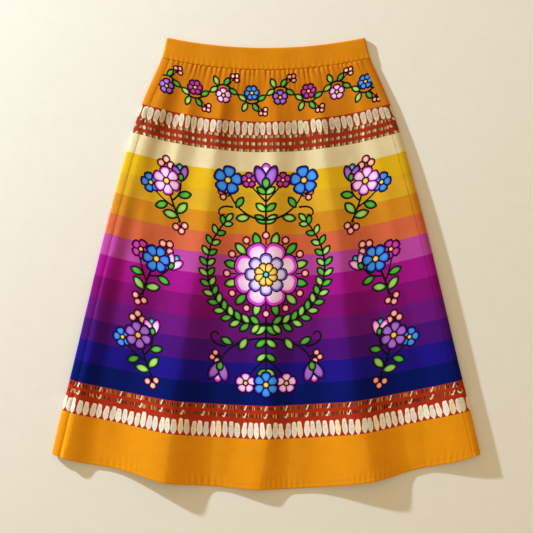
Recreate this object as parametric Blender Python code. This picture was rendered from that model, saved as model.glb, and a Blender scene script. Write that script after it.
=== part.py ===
# A gathered A-line midi skirt lying flat, front panel up, in metres with +Z up.
# The waist points to +Y and the hem to -Y. The origin is the middle of the footprint,
# on the surface that the skirt lies on.
#
# Three pieces are cut and sewn: a waistband that goes all round, a front panel and a
# back panel. The back panel lies flat and rolls up over both sides, so that the side
# seams show on the front, a little inside the outline. The front panel carries the
# gathers under the waistband and the soft folds that grow towards the hem.

import math
from collections import namedtuple

import bmesh
import bpy

# Driving dimensions
WAIST_WIDTH = 0.350          # flat waistband at its top edge, 700 mm round
HEM_WIDTH = 0.756            # flat hem, side to side
SKIRT_LENGTH = 0.779         # down the centre, waistband's top edge to hem
WAISTBAND_DEPTH = 0.039
CLOTH = 0.0015               # wall of one layer of cloth
BAND_CLOTH = 0.0030          # waistband: two layers and its interfacing
LAYER_GAP = 0.0004           # air between panels that lie on each other
SEAM_GAP = 0.0003            # between pieces at a seam
SIDE_ROLL = 0.0140           # width of back panel that shows on the front at each side
GATHERS = 40                 # gathers across the front
GATHER_HEIGHT = 0.0013
GATHER_LENGTH = 0.030        # how far a gather runs down before it has mostly eased out

# The outline, one row for each level. drop is measured down the centre line from the
# waistband's top edge, and end_rise is how much higher the ends of that level's curve
# lie. The heights are those of the rolled sides, and the eases are how far in from each
# side seam the front panel takes to come down onto the back panel.
Level = namedtuple("Level", "drop half_width end_rise left_height right_height "
                            "left_ease right_ease")
LEVELS = (
    Level(0.000, WAIST_WIDTH / 2, 0.018, 0.0068, 0.0068, 0.020, 0.030),
    Level(WAISTBAND_DEPTH, 0.184, 0.021, 0.0068, 0.0068, 0.022, 0.036),
    Level(0.078, 0.199, 0.026, 0.0070, 0.0074, 0.026, 0.046),
    Level(0.130, 0.219, 0.031, 0.0074, 0.0084, 0.030, 0.058),
    Level(0.223, 0.247, 0.037, 0.0078, 0.0102, 0.036, 0.064),
    Level(0.370, 0.285, 0.041, 0.0080, 0.0120, 0.038, 0.052),
    Level(0.506, 0.317, 0.044, 0.0084, 0.0126, 0.040, 0.048),
    Level(0.635, 0.347, 0.047, 0.0086, 0.0126, 0.050, 0.056),
    Level(0.691, 0.360, 0.052, 0.0088, 0.0126, 0.058, 0.068),
    Level(SKIRT_LENGTH, HEM_WIDTH / 2, 0.063, 0.0088, 0.0128, 0.066, 0.080),
)

# The soft folds of the front panel, one row for each station down a fold. across is the
# crest's distance to the right of the centre line, height is its lift, and left and
# right are how far each flank reaches.
Station = namedtuple("Station", "drop across height left right")
FOLDS = {
    "left hip": (
        Station(0.060, -0.172, 0.0006, 0.024, 0.024),
        Station(0.120, -0.181, 0.0026, 0.026, 0.026),
        Station(0.200, -0.211, 0.0026, 0.030, 0.030),
        Station(0.275, -0.214, 0.0022, 0.030, 0.034),
        Station(0.350, -0.219, 0.0034, 0.034, 0.034),
        Station(0.425, -0.225, 0.0032, 0.036, 0.030),
        Station(0.540, -0.236, 0.0022, 0.034, 0.030),
        Station(0.600, -0.252, 0.0000, 0.030, 0.030),
    ),
    "left yoke": (
        Station(0.060, -0.128, 0.0006, 0.020, 0.018),
        Station(0.120, -0.136, 0.0026, 0.022, 0.026),
        Station(0.200, -0.156, 0.0028, 0.020, 0.030),
        Station(0.275, -0.172, 0.0026, 0.024, 0.030),
        Station(0.360, -0.185, 0.0000, 0.030, 0.030),
    ),
    "left main": (
        Station(0.060, -0.076, 0.0008, 0.025, 0.020),
        Station(0.120, -0.080, 0.0042, 0.036, 0.026),
        Station(0.200, -0.092, 0.0054, 0.038, 0.044),
        Station(0.350, -0.110, 0.0084, 0.056, 0.056),
        Station(0.425, -0.127, 0.0102, 0.062, 0.062),
        Station(0.500, -0.139, 0.0120, 0.068, 0.066),
        Station(0.575, -0.151, 0.0134, 0.080, 0.070),
        Station(0.612, -0.159, 0.0138, 0.088, 0.072),
        Station(0.700, -0.168, 0.0148, 0.104, 0.074),
        Station(SKIRT_LENGTH, -0.178, 0.0158, 0.108, 0.080),
    ),
    "middle": (
        Station(0.060, 0.010, 0.0008, 0.030, 0.025),
        Station(0.120, 0.018, 0.0032, 0.030, 0.030),
        Station(0.200, 0.017, 0.0046, 0.038, 0.036),
        Station(0.350, 0.010, 0.0058, 0.048, 0.046),
        Station(0.500, 0.008, 0.0068, 0.048, 0.044),
        Station(0.612, 0.008, 0.0070, 0.056, 0.042),
        Station(0.700, 0.001, 0.0066, 0.066, 0.042),
        Station(SKIRT_LENGTH, -0.012, 0.0068, 0.074, 0.050),
    ),
    "right main": (
        Station(0.060, 0.093, 0.0008, 0.025, 0.022),
        Station(0.120, 0.099, 0.0036, 0.034, 0.038),
        Station(0.200, 0.104, 0.0056, 0.036, 0.054),
        Station(0.350, 0.129, 0.0084, 0.050, 0.056),
        Station(0.425, 0.135, 0.0102, 0.050, 0.060),
        Station(0.500, 0.141, 0.0118, 0.054, 0.064),
        Station(0.575, 0.152, 0.0128, 0.062, 0.070),
        Station(0.625, 0.158, 0.0132, 0.072, 0.074),
        Station(0.700, 0.174, 0.0138, 0.098, 0.070),
        Station(SKIRT_LENGTH, 0.187, 0.0142, 0.122, 0.068),
    ),
    "right hip": (
        Station(0.060, 0.168, 0.0008, 0.020, 0.018),
        Station(0.120, 0.178, 0.0034, 0.026, 0.022),
        Station(0.200, 0.196, 0.0034, 0.030, 0.026),
        Station(0.350, 0.226, 0.0032, 0.034, 0.028),
        Station(0.430, 0.246, 0.0000, 0.034, 0.024),
    ),
}
FOLDS_START = 0.060          # how far below the seam the folds take to come in
CREST_POINT = 0.86           # 1 for a round crest, less for a more pointed one
STRAIGHT = 0.45              # how near the right flanks come to a straight slope

# The right side's cloth rises nearly straight up to its seam.
SIDE_STRAIGHT = 0.6

# The left side's cloth is highest a little inside its seam: its crest is reach from the
# seam, rise above the rest, and falls away over fall.
Shoulder = namedtuple("Shoulder", "drop reach rise fall")
SHOULDERS = (
    Shoulder(0.099, 0.012, 0.0018, 0.028),
    Shoulder(0.300, 0.012, 0.0018, 0.028),
    Shoulder(0.423, 0.006, 0.0018, 0.032),
    Shoulder(0.500, 0.006, 0.0018, 0.033),
    Shoulder(0.560, 0.009, 0.0020, 0.033),
    Shoulder(0.620, 0.008, 0.0020, 0.035),
    Shoulder(0.700, 0.007, 0.0028, 0.046),
    Shoulder(SKIRT_LENGTH, 0.007, 0.0034, 0.054),
)

# Where the hem draws up between the large folds
HemDip = namedtuple("HemDip", "across rise reach")
HEM_DIPS = (HemDip(-0.255, 0.0060, 0.090), HemDip(-0.095, 0.0018, 0.070),
            HemDip(0.268, 0.0038, 0.075))
HEM_DIPS_START = 0.600

# Levels where the front panel has a row of points: close together over the gathers
GATHER_ROWS = (0.0, 0.008, 0.018, 0.032, 0.052)
FOLD_ROWS = 12
COLUMNS_PER_GATHER = 4
ROLL_STEPS = 7
BACK_COLUMNS = 28
BAND_COLUMNS = 40
BAND_ROWS = 3

FRONT_BASE = CLOTH + LAYER_GAP + CLOTH      # front panel's outside where it lies flat
BAND_HEIGHT = 2 * BAND_CLOTH + LAYER_GAP
SEAM_BASE = BAND_HEIGHT - GATHER_HEIGHT     # troughs of the gathers at the waist seam
SEAM_EASE = 0.050                           # how far the front takes to come down from it
CENTRE_TOP = (SKIRT_LENGTH - LEVELS[0].end_rise) / 2

ORANGE = (0.78, 0.34, 0.02)
PLUM = (0.20, 0.02, 0.22)
NAVY = (0.02, 0.02, 0.16)
CLOTH_ROUGHNESS = 0.85


def smooth_between(places, values, place):
    """The value at a place on a smooth curve through the values at given places."""
    if place <= places[0]:
        return values[0]
    if place >= places[-1]:
        return values[-1]

    def slope(i):
        low, high = max(i - 1, 0), min(i + 1, len(places) - 1)
        return (values[high] - values[low]) / (places[high] - places[low])

    i = max(k for k, p in enumerate(places) if p <= place)
    span = places[i + 1] - places[i]
    t = (place - places[i]) / span
    start = values[i] * (1 + 2 * t) * (1 - t) ** 2 + slope(i) * span * t * (1 - t) ** 2
    end = values[i + 1] * t * t * (3 - 2 * t) + slope(i + 1) * span * t * t * (t - 1)
    return start + end


def level(column, drop):
    """One column of the outline's table at any drop."""
    return smooth_between([row.drop for row in LEVELS],
                          [getattr(row, column) for row in LEVELS], drop)


def on_plan(across, drop):
    """The y of a point of the cloth. Cross levels bow down in the middle, and the hem
    draws up between the large folds."""
    share = across / level("half_width", drop)
    near_hem = max(drop - HEM_DIPS_START, 0) / (SKIRT_LENGTH - HEM_DIPS_START)
    drawn_up = sum(dip.rise * fading(across - dip.across, dip.reach) for dip in HEM_DIPS)
    return (CENTRE_TOP - drop + level("end_rise", drop) * share * share
            + drawn_up * near_hem * near_hem)


def fading(distance, reach):
    """1 at no distance, and 0 from reach on, level at both ends."""
    share = min(abs(distance) / reach, 1)
    return 0.5 + 0.5 * math.cos(math.pi * share)


def along_fold(stations, column, drop):
    """One column of a fold's stations at any drop."""
    return smooth_between([row.drop for row in stations],
                          [getattr(row, column) for row in stations], drop)


def fold_height(across, drop):
    """How far the soft folds lift the front panel."""
    total = 0
    for stations in FOLDS.values():
        away = across - along_fold(stations, "across", drop)
        reach = along_fold(stations, "left" if away < 0 else "right", drop)
        share = min(abs(away) / reach, 1)
        soft = fading(share ** CREST_POINT, 1)
        flank = soft + (STRAIGHT if away > 0 else 0) * (1 - share - soft)
        total += max(along_fold(stations, "height", drop), 0) * flank
    return total * min((drop - WAISTBAND_DEPTH) / FOLDS_START, 1)


def gather_crest(number):
    """Where a gather's crest lies, as a share of the front's half width."""
    even = (2 * number + 1) / GATHERS - 1
    return even + (0.30 * math.sin(1.7 * number) + 0.22 * math.sin(0.61 * number + 1)) / GATHERS


def gather_height(column, below_seam):
    """The lift of a gather at one of the fine columns, which fall on crests,
    troughs and halfway between."""
    number = (column - 2) / COLUMNS_PER_GATHER
    wave = 0.5 + 0.5 * math.cos(2 * math.pi * number)
    strength = 0.80 + 0.20 * math.sin(2.3 * number + 0.5)
    length = GATHER_LENGTH * (1 + 0.35 * math.sin(1.1 * number) + 0.2 * math.sin(2.9 * number))
    return GATHER_HEIGHT * strength * wave * math.exp(-((below_seam / length) ** 1.4))


def fine_columns():
    """The front's columns as shares of its half width: four to each gather."""
    crests = [gather_crest(n) for n in range(GATHERS)]
    crests = [-1 - (crests[0] + 1)] + crests + [1 + (1 - crests[-1])]
    shares = []
    for left, right in zip(crests, crests[1:]):
        shares += [left + (right - left) * k / COLUMNS_PER_GATHER
                   for k in range(COLUMNS_PER_GATHER)]
    half = COLUMNS_PER_GATHER // 2
    shares = shares[half:] + [crests[-1]]
    shares = shares[:COLUMNS_PER_GATHER * GATHERS + 1]
    shares[0], shares[-1] = -1, 1
    return shares


def front_edge(drop):
    """Half the width of the front panel, to its side seams."""
    return level("half_width", drop) - SIDE_ROLL - SEAM_GAP


def front_height(across, drop):
    """The front panel's outside, without the gathers."""
    from_seam = drop - WAISTBAND_DEPTH
    base = FRONT_BASE + (SEAM_BASE - FRONT_BASE) * fading(from_seam, SEAM_EASE)
    edge = front_edge(drop)
    left = fading(across + edge, level("left_ease", drop))
    to_side = min(max((edge - across) / level("right_ease", drop), 0), 1)
    right = (1 - SIDE_STRAIGHT) * fading(to_side, 1) + SIDE_STRAIGHT * (1 - to_side)
    lifted = base + fold_height(across, drop) * (1 - left) * (1 - right)
    shoulder = along_fold(SHOULDERS, "rise", drop) * min(max(from_seam / FOLDS_START, 0), 1)
    reach, fall = (along_fold(SHOULDERS, column, drop) for column in ("reach", "fall"))
    past = across + edge - reach
    return (lifted + (level("left_height", drop) - base) * left
            + (level("right_height", drop) - base) * right
            + shoulder * fading(past, reach if past < 0 else fall))


def new_object(name, bm, colour):
    """An object in the scene from a bmesh, with faces pointing out and its own material."""
    bmesh.ops.recalc_face_normals(bm, faces=bm.faces)
    mesh = bpy.data.meshes.new(name)
    bm.to_mesh(mesh)
    bm.free()
    mesh.shade_smooth()
    mesh.set_sharp_from_angle(angle=math.radians(50))
    material = bpy.data.materials.new(name)
    material.use_nodes = True
    shader = material.node_tree.nodes["Principled BSDF"]
    shader.inputs["Base Color"].default_value = (*colour, 1)
    shader.inputs["Roughness"].default_value = CLOTH_ROUGHNESS
    shader.inputs["Metallic"].default_value = 0
    mesh.materials.append(material)
    obj = bpy.data.objects.new(name, mesh)
    bpy.context.scene.collection.objects.link(obj)
    return obj


def bridge(bm, upper, lower):
    """Faces between two rows of points, where the lower may have half the columns."""
    if len(upper) == len(lower):
        for k in range(len(upper) - 1):
            bm.faces.new((upper[k], upper[k + 1], lower[k + 1], lower[k]))
        return
    for k in range(len(lower) - 1):
        first, middle, last = upper[2 * k:2 * k + 3]
        bm.faces.new((first, middle, lower[k]))
        bm.faces.new((middle, lower[k + 1], lower[k]))
        bm.faces.new((middle, last, lower[k + 1]))


def front_levels():
    """Drops of the front panel's rows, and whether each has the fine columns."""
    top = WAISTBAND_DEPTH + SEAM_GAP
    rows = [(top + below, True) for below in GATHER_ROWS]
    start = rows[-1][0]
    return rows + [(start + (SKIRT_LENGTH - start) * k / FOLD_ROWS, False)
                   for k in range(1, FOLD_ROWS + 1)]


def front_panel():
    """The front panel as a closed wall: its outside, its inside and the edges between."""
    bm = bmesh.new()
    shares = fine_columns()
    outer_rows, inner_rows = [], []
    for drop, fine in front_levels():
        outer, inner = [], []
        for column in range(0, len(shares), 1 if fine else 2):
            across = shares[column] * front_edge(drop)
            below = drop - WAISTBAND_DEPTH - SEAM_GAP
            at_side = min((1 - abs(shares[column])) * GATHERS / 2, 1)
            z = front_height(across, drop) + at_side * gather_height(column, below)
            y = on_plan(across, drop)
            outer.append(bm.verts.new((across, y, z)))
            inner.append(bm.verts.new((across, y, z - CLOTH)))
        outer_rows.append(outer)
        inner_rows.append(inner)
    for rows in (outer_rows, inner_rows):
        for upper, lower in zip(rows, rows[1:]):
            bridge(bm, upper, lower)
    for outer, inner in ((outer_rows[0], inner_rows[0]), (outer_rows[-1], inner_rows[-1])):
        bridge(bm, outer, inner)
    for end in (0, -1):
        bridge(bm, [row[end] for row in outer_rows], [row[end] for row in inner_rows])
    return new_object("front_panel", bm, PLUM)


def half_turn(centre, reach, height, steps, side):
    """Points round a rolled side, from underneath, past the outline, to the top."""
    points = []
    for k in range(steps + 1):
        angle = -math.pi / 2 + math.pi * k / steps
        points.append((side * (centre + reach * math.cos(angle)),
                       height / 2 * (1 + math.sin(angle))))
    return points


def back_section(drop, inset):
    """The back panel's cross-section at a level, from the left side seam under the
    skirt to the right one, moved in from its outside by inset."""
    centre = level("half_width", drop) - SIDE_ROLL
    reach = SIDE_ROLL - inset
    right = half_turn(centre, reach, level("right_height", drop) - 2 * inset, ROLL_STEPS, 1)
    left = half_turn(centre, reach, level("left_height", drop) - 2 * inset, ROLL_STEPS, -1)
    flat = [(centre * (2 * k / BACK_COLUMNS - 1), 0) for k in range(1, BACK_COLUMNS)]
    return [(x, z + inset) for x, z in left[::-1] + flat + right]


def back_panel():
    """The back panel as a closed wall that lies flat and rolls up at both sides."""
    bm = bmesh.new()
    outer_rows, inner_rows = [], []
    for drop, _ in front_levels():
        for rows, inset in ((outer_rows, 0), (inner_rows, CLOTH)):
            rows.append([bm.verts.new((x, on_plan(x, drop), z))
                         for x, z in back_section(drop, inset)])
    for rows in (outer_rows, inner_rows):
        for upper, lower in zip(rows, rows[1:]):
            bridge(bm, upper, lower)
    for outer, inner in ((outer_rows[0], inner_rows[0]), (outer_rows[-1], inner_rows[-1])):
        bridge(bm, outer, inner)
    for end in (0, -1):
        bridge(bm, [row[end] for row in outer_rows], [row[end] for row in inner_rows])
    return new_object("back_panel", bm, NAVY)


def band_section(drop, inset):
    """The waistband's closed cross-section at a level, moved in by inset."""
    radius = BAND_HEIGHT / 2
    centre = level("half_width", drop) - radius
    height = BAND_HEIGHT - 2 * inset
    right = half_turn(centre, radius - inset, height, ROLL_STEPS, 1)
    left = half_turn(centre, radius - inset, height, ROLL_STEPS, -1)
    top = [(centre * (1 - 2 * k / BAND_COLUMNS), height) for k in range(1, BAND_COLUMNS)]
    bottom = [(centre * (2 * k / BACK_COLUMNS - 1), 0) for k in range(1, BACK_COLUMNS)]
    loop = right + top + left[::-1] + bottom
    return [(x, z + inset) for x, z in loop + loop[:1]]


def waistband():
    """The waistband, one loop of doubled cloth lying flat, open at both edges."""
    bm = bmesh.new()
    outer_rows, inner_rows = [], []
    for k in range(BAND_ROWS + 1):
        drop = WAISTBAND_DEPTH * k / BAND_ROWS
        for rows, inset in ((outer_rows, 0), (inner_rows, BAND_CLOTH)):
            section = band_section(drop, inset)
            points = [bm.verts.new((x, on_plan(x, drop), z)) for x, z in section[:-1]]
            rows.append(points + points[:1])
    for rows in (outer_rows, inner_rows):
        for upper, lower in zip(rows, rows[1:]):
            bridge(bm, upper, lower)
    for outer, inner in ((outer_rows[0], inner_rows[0]), (outer_rows[-1], inner_rows[-1])):
        bridge(bm, outer, inner)
    return new_object("waistband", bm, ORANGE)


def main():
    for obj in list(bpy.data.objects):
        bpy.data.objects.remove(obj)
    waistband()
    back_panel()
    front_panel()


main()
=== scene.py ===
"""The looks of a gathered midi skirt that lies flat, front up.

Each panel is a thin shell of cloth in the form of its solid, with its print drawn into
the mesh: a chart of the flat panel is filled with painted outlines, triangulated, and
laid over the folds. Charts are in millimetres, across from the centre line and down
from the waistband's top edge.
"""
import math
import random
from collections import namedtuple

import bpy
import numpy as np
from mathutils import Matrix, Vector
from mathutils.geometry import delaunay_2d_cdt


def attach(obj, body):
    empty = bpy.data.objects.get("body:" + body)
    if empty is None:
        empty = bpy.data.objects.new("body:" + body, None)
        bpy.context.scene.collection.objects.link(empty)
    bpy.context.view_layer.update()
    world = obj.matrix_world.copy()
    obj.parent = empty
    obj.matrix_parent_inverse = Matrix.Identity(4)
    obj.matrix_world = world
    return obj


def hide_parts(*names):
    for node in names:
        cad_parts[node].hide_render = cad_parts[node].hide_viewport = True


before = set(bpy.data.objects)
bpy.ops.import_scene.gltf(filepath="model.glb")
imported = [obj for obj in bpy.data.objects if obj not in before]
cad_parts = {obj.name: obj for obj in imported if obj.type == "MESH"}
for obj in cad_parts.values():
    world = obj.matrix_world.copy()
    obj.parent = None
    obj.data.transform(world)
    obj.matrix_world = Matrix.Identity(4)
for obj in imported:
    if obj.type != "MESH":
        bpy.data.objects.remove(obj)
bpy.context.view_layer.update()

# Form, as in the part's own source, in metres
WAIST_WIDTH = 0.350
HEM_WIDTH = 0.756
SKIRT_LENGTH = 0.779
WAISTBAND_DEPTH = 0.039
CLOTH = 0.0015
BAND_CLOTH = 0.0030
LAYER_GAP = 0.0004
SEAM_GAP = 0.0003
SIDE_ROLL = 0.0140
GATHERS = 40
GATHER_HEIGHT = 0.0013
GATHER_LENGTH = 0.030

Level = namedtuple("Level", "drop half_width end_rise left_height right_height "
                            "left_ease right_ease")
LEVELS = (
    Level(0.000, WAIST_WIDTH / 2, 0.018, 0.0068, 0.0068, 0.020, 0.030),
    Level(WAISTBAND_DEPTH, 0.184, 0.021, 0.0068, 0.0068, 0.022, 0.036),
    Level(0.078, 0.199, 0.026, 0.0070, 0.0074, 0.026, 0.046),
    Level(0.130, 0.219, 0.031, 0.0074, 0.0084, 0.030, 0.058),
    Level(0.223, 0.247, 0.037, 0.0078, 0.0102, 0.036, 0.064),
    Level(0.370, 0.285, 0.041, 0.0080, 0.0120, 0.038, 0.052),
    Level(0.506, 0.317, 0.044, 0.0084, 0.0126, 0.040, 0.048),
    Level(0.635, 0.347, 0.047, 0.0086, 0.0126, 0.050, 0.056),
    Level(0.691, 0.360, 0.052, 0.0088, 0.0126, 0.058, 0.068),
    Level(SKIRT_LENGTH, HEM_WIDTH / 2, 0.063, 0.0088, 0.0128, 0.066, 0.080),
)
# The soft folds of the front panel, one row for each station down a fold. across is the
# crest's distance to the right of the centre line, height is its lift, and left and
# right are how far each flank reaches.
Station = namedtuple("Station", "drop across height left right")
FOLDS = {
    "left hip": (
        Station(0.060, -0.172, 0.0006, 0.024, 0.024),
        Station(0.120, -0.181, 0.0026, 0.026, 0.026),
        Station(0.200, -0.211, 0.0026, 0.030, 0.030),
        Station(0.275, -0.214, 0.0022, 0.030, 0.034),
        Station(0.350, -0.219, 0.0034, 0.034, 0.034),
        Station(0.425, -0.225, 0.0032, 0.036, 0.030),
        Station(0.540, -0.236, 0.0022, 0.034, 0.030),
        Station(0.600, -0.252, 0.0000, 0.030, 0.030),
    ),
    "left yoke": (
        Station(0.060, -0.128, 0.0006, 0.020, 0.018),
        Station(0.120, -0.136, 0.0026, 0.022, 0.026),
        Station(0.200, -0.156, 0.0028, 0.020, 0.030),
        Station(0.275, -0.172, 0.0026, 0.024, 0.030),
        Station(0.360, -0.185, 0.0000, 0.030, 0.030),
    ),
    "left main": (
        Station(0.060, -0.076, 0.0008, 0.025, 0.020),
        Station(0.120, -0.080, 0.0042, 0.036, 0.026),
        Station(0.200, -0.092, 0.0054, 0.038, 0.044),
        Station(0.350, -0.110, 0.0084, 0.056, 0.056),
        Station(0.425, -0.127, 0.0102, 0.062, 0.062),
        Station(0.500, -0.139, 0.0120, 0.068, 0.066),
        Station(0.575, -0.151, 0.0134, 0.080, 0.070),
        Station(0.612, -0.159, 0.0138, 0.088, 0.072),
        Station(0.700, -0.168, 0.0148, 0.104, 0.074),
        Station(SKIRT_LENGTH, -0.178, 0.0158, 0.108, 0.080),
    ),
    "middle": (
        Station(0.060, 0.010, 0.0008, 0.030, 0.025),
        Station(0.120, 0.018, 0.0032, 0.030, 0.030),
        Station(0.200, 0.017, 0.0046, 0.038, 0.036),
        Station(0.350, 0.010, 0.0058, 0.048, 0.046),
        Station(0.500, 0.008, 0.0068, 0.048, 0.044),
        Station(0.612, 0.008, 0.0070, 0.056, 0.042),
        Station(0.700, 0.001, 0.0066, 0.066, 0.042),
        Station(SKIRT_LENGTH, -0.012, 0.0068, 0.074, 0.050),
    ),
    "right main": (
        Station(0.060, 0.093, 0.0008, 0.025, 0.022),
        Station(0.120, 0.099, 0.0036, 0.034, 0.038),
        Station(0.200, 0.104, 0.0056, 0.036, 0.054),
        Station(0.350, 0.129, 0.0084, 0.050, 0.056),
        Station(0.425, 0.135, 0.0102, 0.050, 0.060),
        Station(0.500, 0.141, 0.0118, 0.054, 0.064),
        Station(0.575, 0.152, 0.0128, 0.062, 0.070),
        Station(0.625, 0.158, 0.0132, 0.072, 0.074),
        Station(0.700, 0.174, 0.0138, 0.098, 0.070),
        Station(SKIRT_LENGTH, 0.187, 0.0142, 0.122, 0.068),
    ),
    "right hip": (
        Station(0.060, 0.168, 0.0008, 0.020, 0.018),
        Station(0.120, 0.178, 0.0034, 0.026, 0.022),
        Station(0.200, 0.196, 0.0034, 0.030, 0.026),
        Station(0.350, 0.226, 0.0032, 0.034, 0.028),
        Station(0.430, 0.246, 0.0000, 0.034, 0.024),
    ),
}
FOLDS_START = 0.060          # how far below the seam the folds take to come in
CREST_POINT = 0.86           # 1 for a round crest, less for a more pointed one
STRAIGHT = 0.45              # how near the right flanks come to a straight slope

# The right side's cloth rises nearly straight up to its seam.
SIDE_STRAIGHT = 0.6

# The left side's cloth is highest a little inside its seam: its crest is reach from the
# seam, rise above the rest, and falls away over fall.
Shoulder = namedtuple("Shoulder", "drop reach rise fall")
SHOULDERS = (
    Shoulder(0.099, 0.012, 0.0018, 0.028),
    Shoulder(0.300, 0.012, 0.0018, 0.028),
    Shoulder(0.423, 0.006, 0.0018, 0.032),
    Shoulder(0.500, 0.006, 0.0018, 0.033),
    Shoulder(0.560, 0.009, 0.0020, 0.033),
    Shoulder(0.620, 0.008, 0.0020, 0.035),
    Shoulder(0.700, 0.007, 0.0028, 0.046),
    Shoulder(SKIRT_LENGTH, 0.007, 0.0034, 0.054),
)

# Where the hem draws up between the large folds
HemDip = namedtuple("HemDip", "across rise reach")
HEM_DIPS = (HemDip(-0.255, 0.0060, 0.090), HemDip(-0.095, 0.0018, 0.070),
            HemDip(0.268, 0.0038, 0.075))
HEM_DIPS_START = 0.600
FRONT_BASE = CLOTH + LAYER_GAP + CLOTH
BAND_HEIGHT = 2 * BAND_CLOTH + LAYER_GAP
SEAM_BASE = BAND_HEIGHT - GATHER_HEIGHT
SEAM_EASE = 0.050
CENTRE_TOP = (SKIRT_LENGTH - LEVELS[0].end_rise) / 2

# Cloth as it shows
SHELL = 0.0006               # thickness of the shells that stand for the panels
BAND_SHELL = 0.0026
BAND_ROLL = 0.0022           # how far down the waistband's folded top edge rounds over
BAND_SWELL = 0.00012         # how uneven its front is
BAND_SUNK = 0.0002           # how far its front stays below the solid's
BAND_POINTS = 520            # round it
HEM_STITCHING = 0.0088       # topstitched row, up from the hem
THREAD = 0.00022             # half the thickness of the topstitching's thread
MM = 0.001
ROLL_CLOTH = 30.0            # millimetres of back panel that go round each rolled side
TOP = (WAISTBAND_DEPTH + SEAM_GAP) / MM
HEM = SKIRT_LENGTH / MM

# How far a seam, a row of stitches or an edge pulls the cloth down, and how wide that is
Dent = namedtuple("Dent", "depth reach")
WAIST_DENT = Dent(0.0003, 0.0016)
SIDE_DENT = Dent(0.0006, 0.0012)
STITCH_DENT = Dent(0.00016, 0.0016)
EDGE_DENT = Dent(0.0005, 0.0010)
HEM_PUCKER = Dent(0.00011, 0.010)
BAND_PUCKER = Dent(0.00022, 0.009)
PUCKER = 0.0016              # a pucker's width, as the distance in which a sine turns by 1

# How gathers and ripples vary
GATHER_FALL = 1.4            # how suddenly a gather eases out at its end
TROUGH_NARROW = 0.55         # 1 for troughs as wide as crests, less for narrower ones
RIPPLES_ACROSS = 34
RIPPLE_RISE = 0.03           # how far below the seam a ripple takes to come in
RIPPLE_MARGIN = 0.012        # how near the side seams they die out

# The bands of colour down the skirt: where each starts at the centre line, in
# millimetres, and its colour as a screen shows it
Band = namedtuple("Band", "name start colour")
BANDS = (
    # The yoke is the same orange cloth as the hem, coloured darker here as painted shade
    Band("yoke", 39.0, (206, 122, 15)),
    Band("upper border", 130.0, (157, 46, 21)),
    Band("cream", 183.0, (224, 204, 156)),
    Band("yellow", 219.0, (221, 173, 22)),
    Band("gold", 256.0, (215, 163, 34)),
    Band("orange", 294.0, (206, 132, 28)),
    Band("coral", 330.0, (208, 100, 62)),
    Band("orchid", 367.0, (180, 68, 152)),
    Band("magenta", 404.0, (158, 18, 130)),
    Band("plum", 442.0, (128, 13, 110)),
    Band("purple", 480.0, (104, 20, 116)),
    Band("violet", 518.0, (72, 16, 113)),
    Band("indigo", 556.0, (30, 18, 130)),
    Band("navy", 594.0, (5, 20, 97)),
    Band("lower border", 631.0, (175, 48, 22)),
    Band("hem", 690.0, (233, 148, 17)),
)
# The waistband's orange: the same cloth as the hem, coloured darker as painted shade
SHADED_ORANGE = (217, 133, 15)
INK = (22, 8, 12)


def linear(colour):
    """A screen colour of 0 to 255 as the linear numbers that a shader takes."""
    share = np.asarray(colour, dtype=float) / 255
    return np.where(share <= 0.04045, share / 12.92, ((share + 0.055) / 1.055) ** 2.4)


def curve(places, values, at):
    """Values on a smooth curve through the values at given places."""
    places, values = np.asarray(places, float), np.asarray(values, float)
    at = np.clip(at, places[0], places[-1])
    ends = np.arange(len(places))
    low, high = np.maximum(ends - 1, 0), np.minimum(ends + 1, len(places) - 1)
    slope = (values[high] - values[low]) / (places[high] - places[low])
    i = np.clip(np.searchsorted(places, at, side="right") - 1, 0, len(places) - 2)
    span = places[i + 1] - places[i]
    t = (at - places[i]) / span
    return (values[i] * (1 + 2 * t) * (1 - t) ** 2 + slope[i] * span * t * (1 - t) ** 2
            + values[i + 1] * t * t * (3 - 2 * t) + slope[i + 1] * span * t * t * (t - 1))


def down_table(rows, column, drop):
    """One column of a table at any drop."""
    return curve([row.drop for row in rows], [getattr(row, column) for row in rows], drop)


def level(column, drop):
    """One column of the outline's table at any drop."""
    return down_table(LEVELS, column, drop)


def on_plan(across, drop):
    """The y of a point of the cloth. Cross levels bow down in the middle, and the hem
    draws up between the large folds."""
    share = across / level("half_width", drop)
    near_hem = np.maximum(drop - HEM_DIPS_START, 0) / (SKIRT_LENGTH - HEM_DIPS_START)
    drawn_up = sum(dip.rise * fading(across - dip.across, dip.reach) for dip in HEM_DIPS)
    return (CENTRE_TOP - drop + level("end_rise", drop) * share * share
            + drawn_up * near_hem * near_hem)


def fading(distance, reach):
    """1 at no distance, and 0 from reach on, level at both ends."""
    return 0.5 + 0.5 * np.cos(np.pi * np.minimum(np.abs(distance) / reach, 1))


def fold_height(across, drop):
    """How far the soft folds lift the front panel."""
    total = 0
    for stations in FOLDS.values():
        away = across - down_table(stations, "across", drop)
        reach = np.where(away < 0, down_table(stations, "left", drop),
                         down_table(stations, "right", drop))
        share = np.minimum(np.abs(away) / reach, 1)
        soft = fading(share ** CREST_POINT, 1)
        flank = soft + np.where(away > 0, STRAIGHT, 0) * (1 - share - soft)
        total = total + np.maximum(down_table(stations, "height", drop), 0) * flank
    return total * np.minimum((drop - WAISTBAND_DEPTH) / FOLDS_START, 1)


def front_edge(drop):
    """Half the width of the front panel, to its side seams."""
    return level("half_width", drop) - SIDE_ROLL - SEAM_GAP


def gather_crests():
    """Where the crests lie, as shares of the front's half width, with one past each end."""
    crests = [(2 * n + 1) / GATHERS - 1
              + (0.30 * math.sin(1.7 * n) + 0.22 * math.sin(0.61 * n + 1)) / GATHERS
              for n in range(GATHERS)]
    return [-2 - crests[0]] + crests + [2 - crests[-1]]


def gather_troughs():
    """How deep each trough is, as a share, and how far down it runs."""
    rng = random.Random(3)
    return [(rng.uniform(0.40, 1.3), rng.uniform(0.009, 0.028)) for _ in range(GATHERS + 2)]


CRESTS = gather_crests()
TROUGHS = np.array(gather_troughs())


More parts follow.
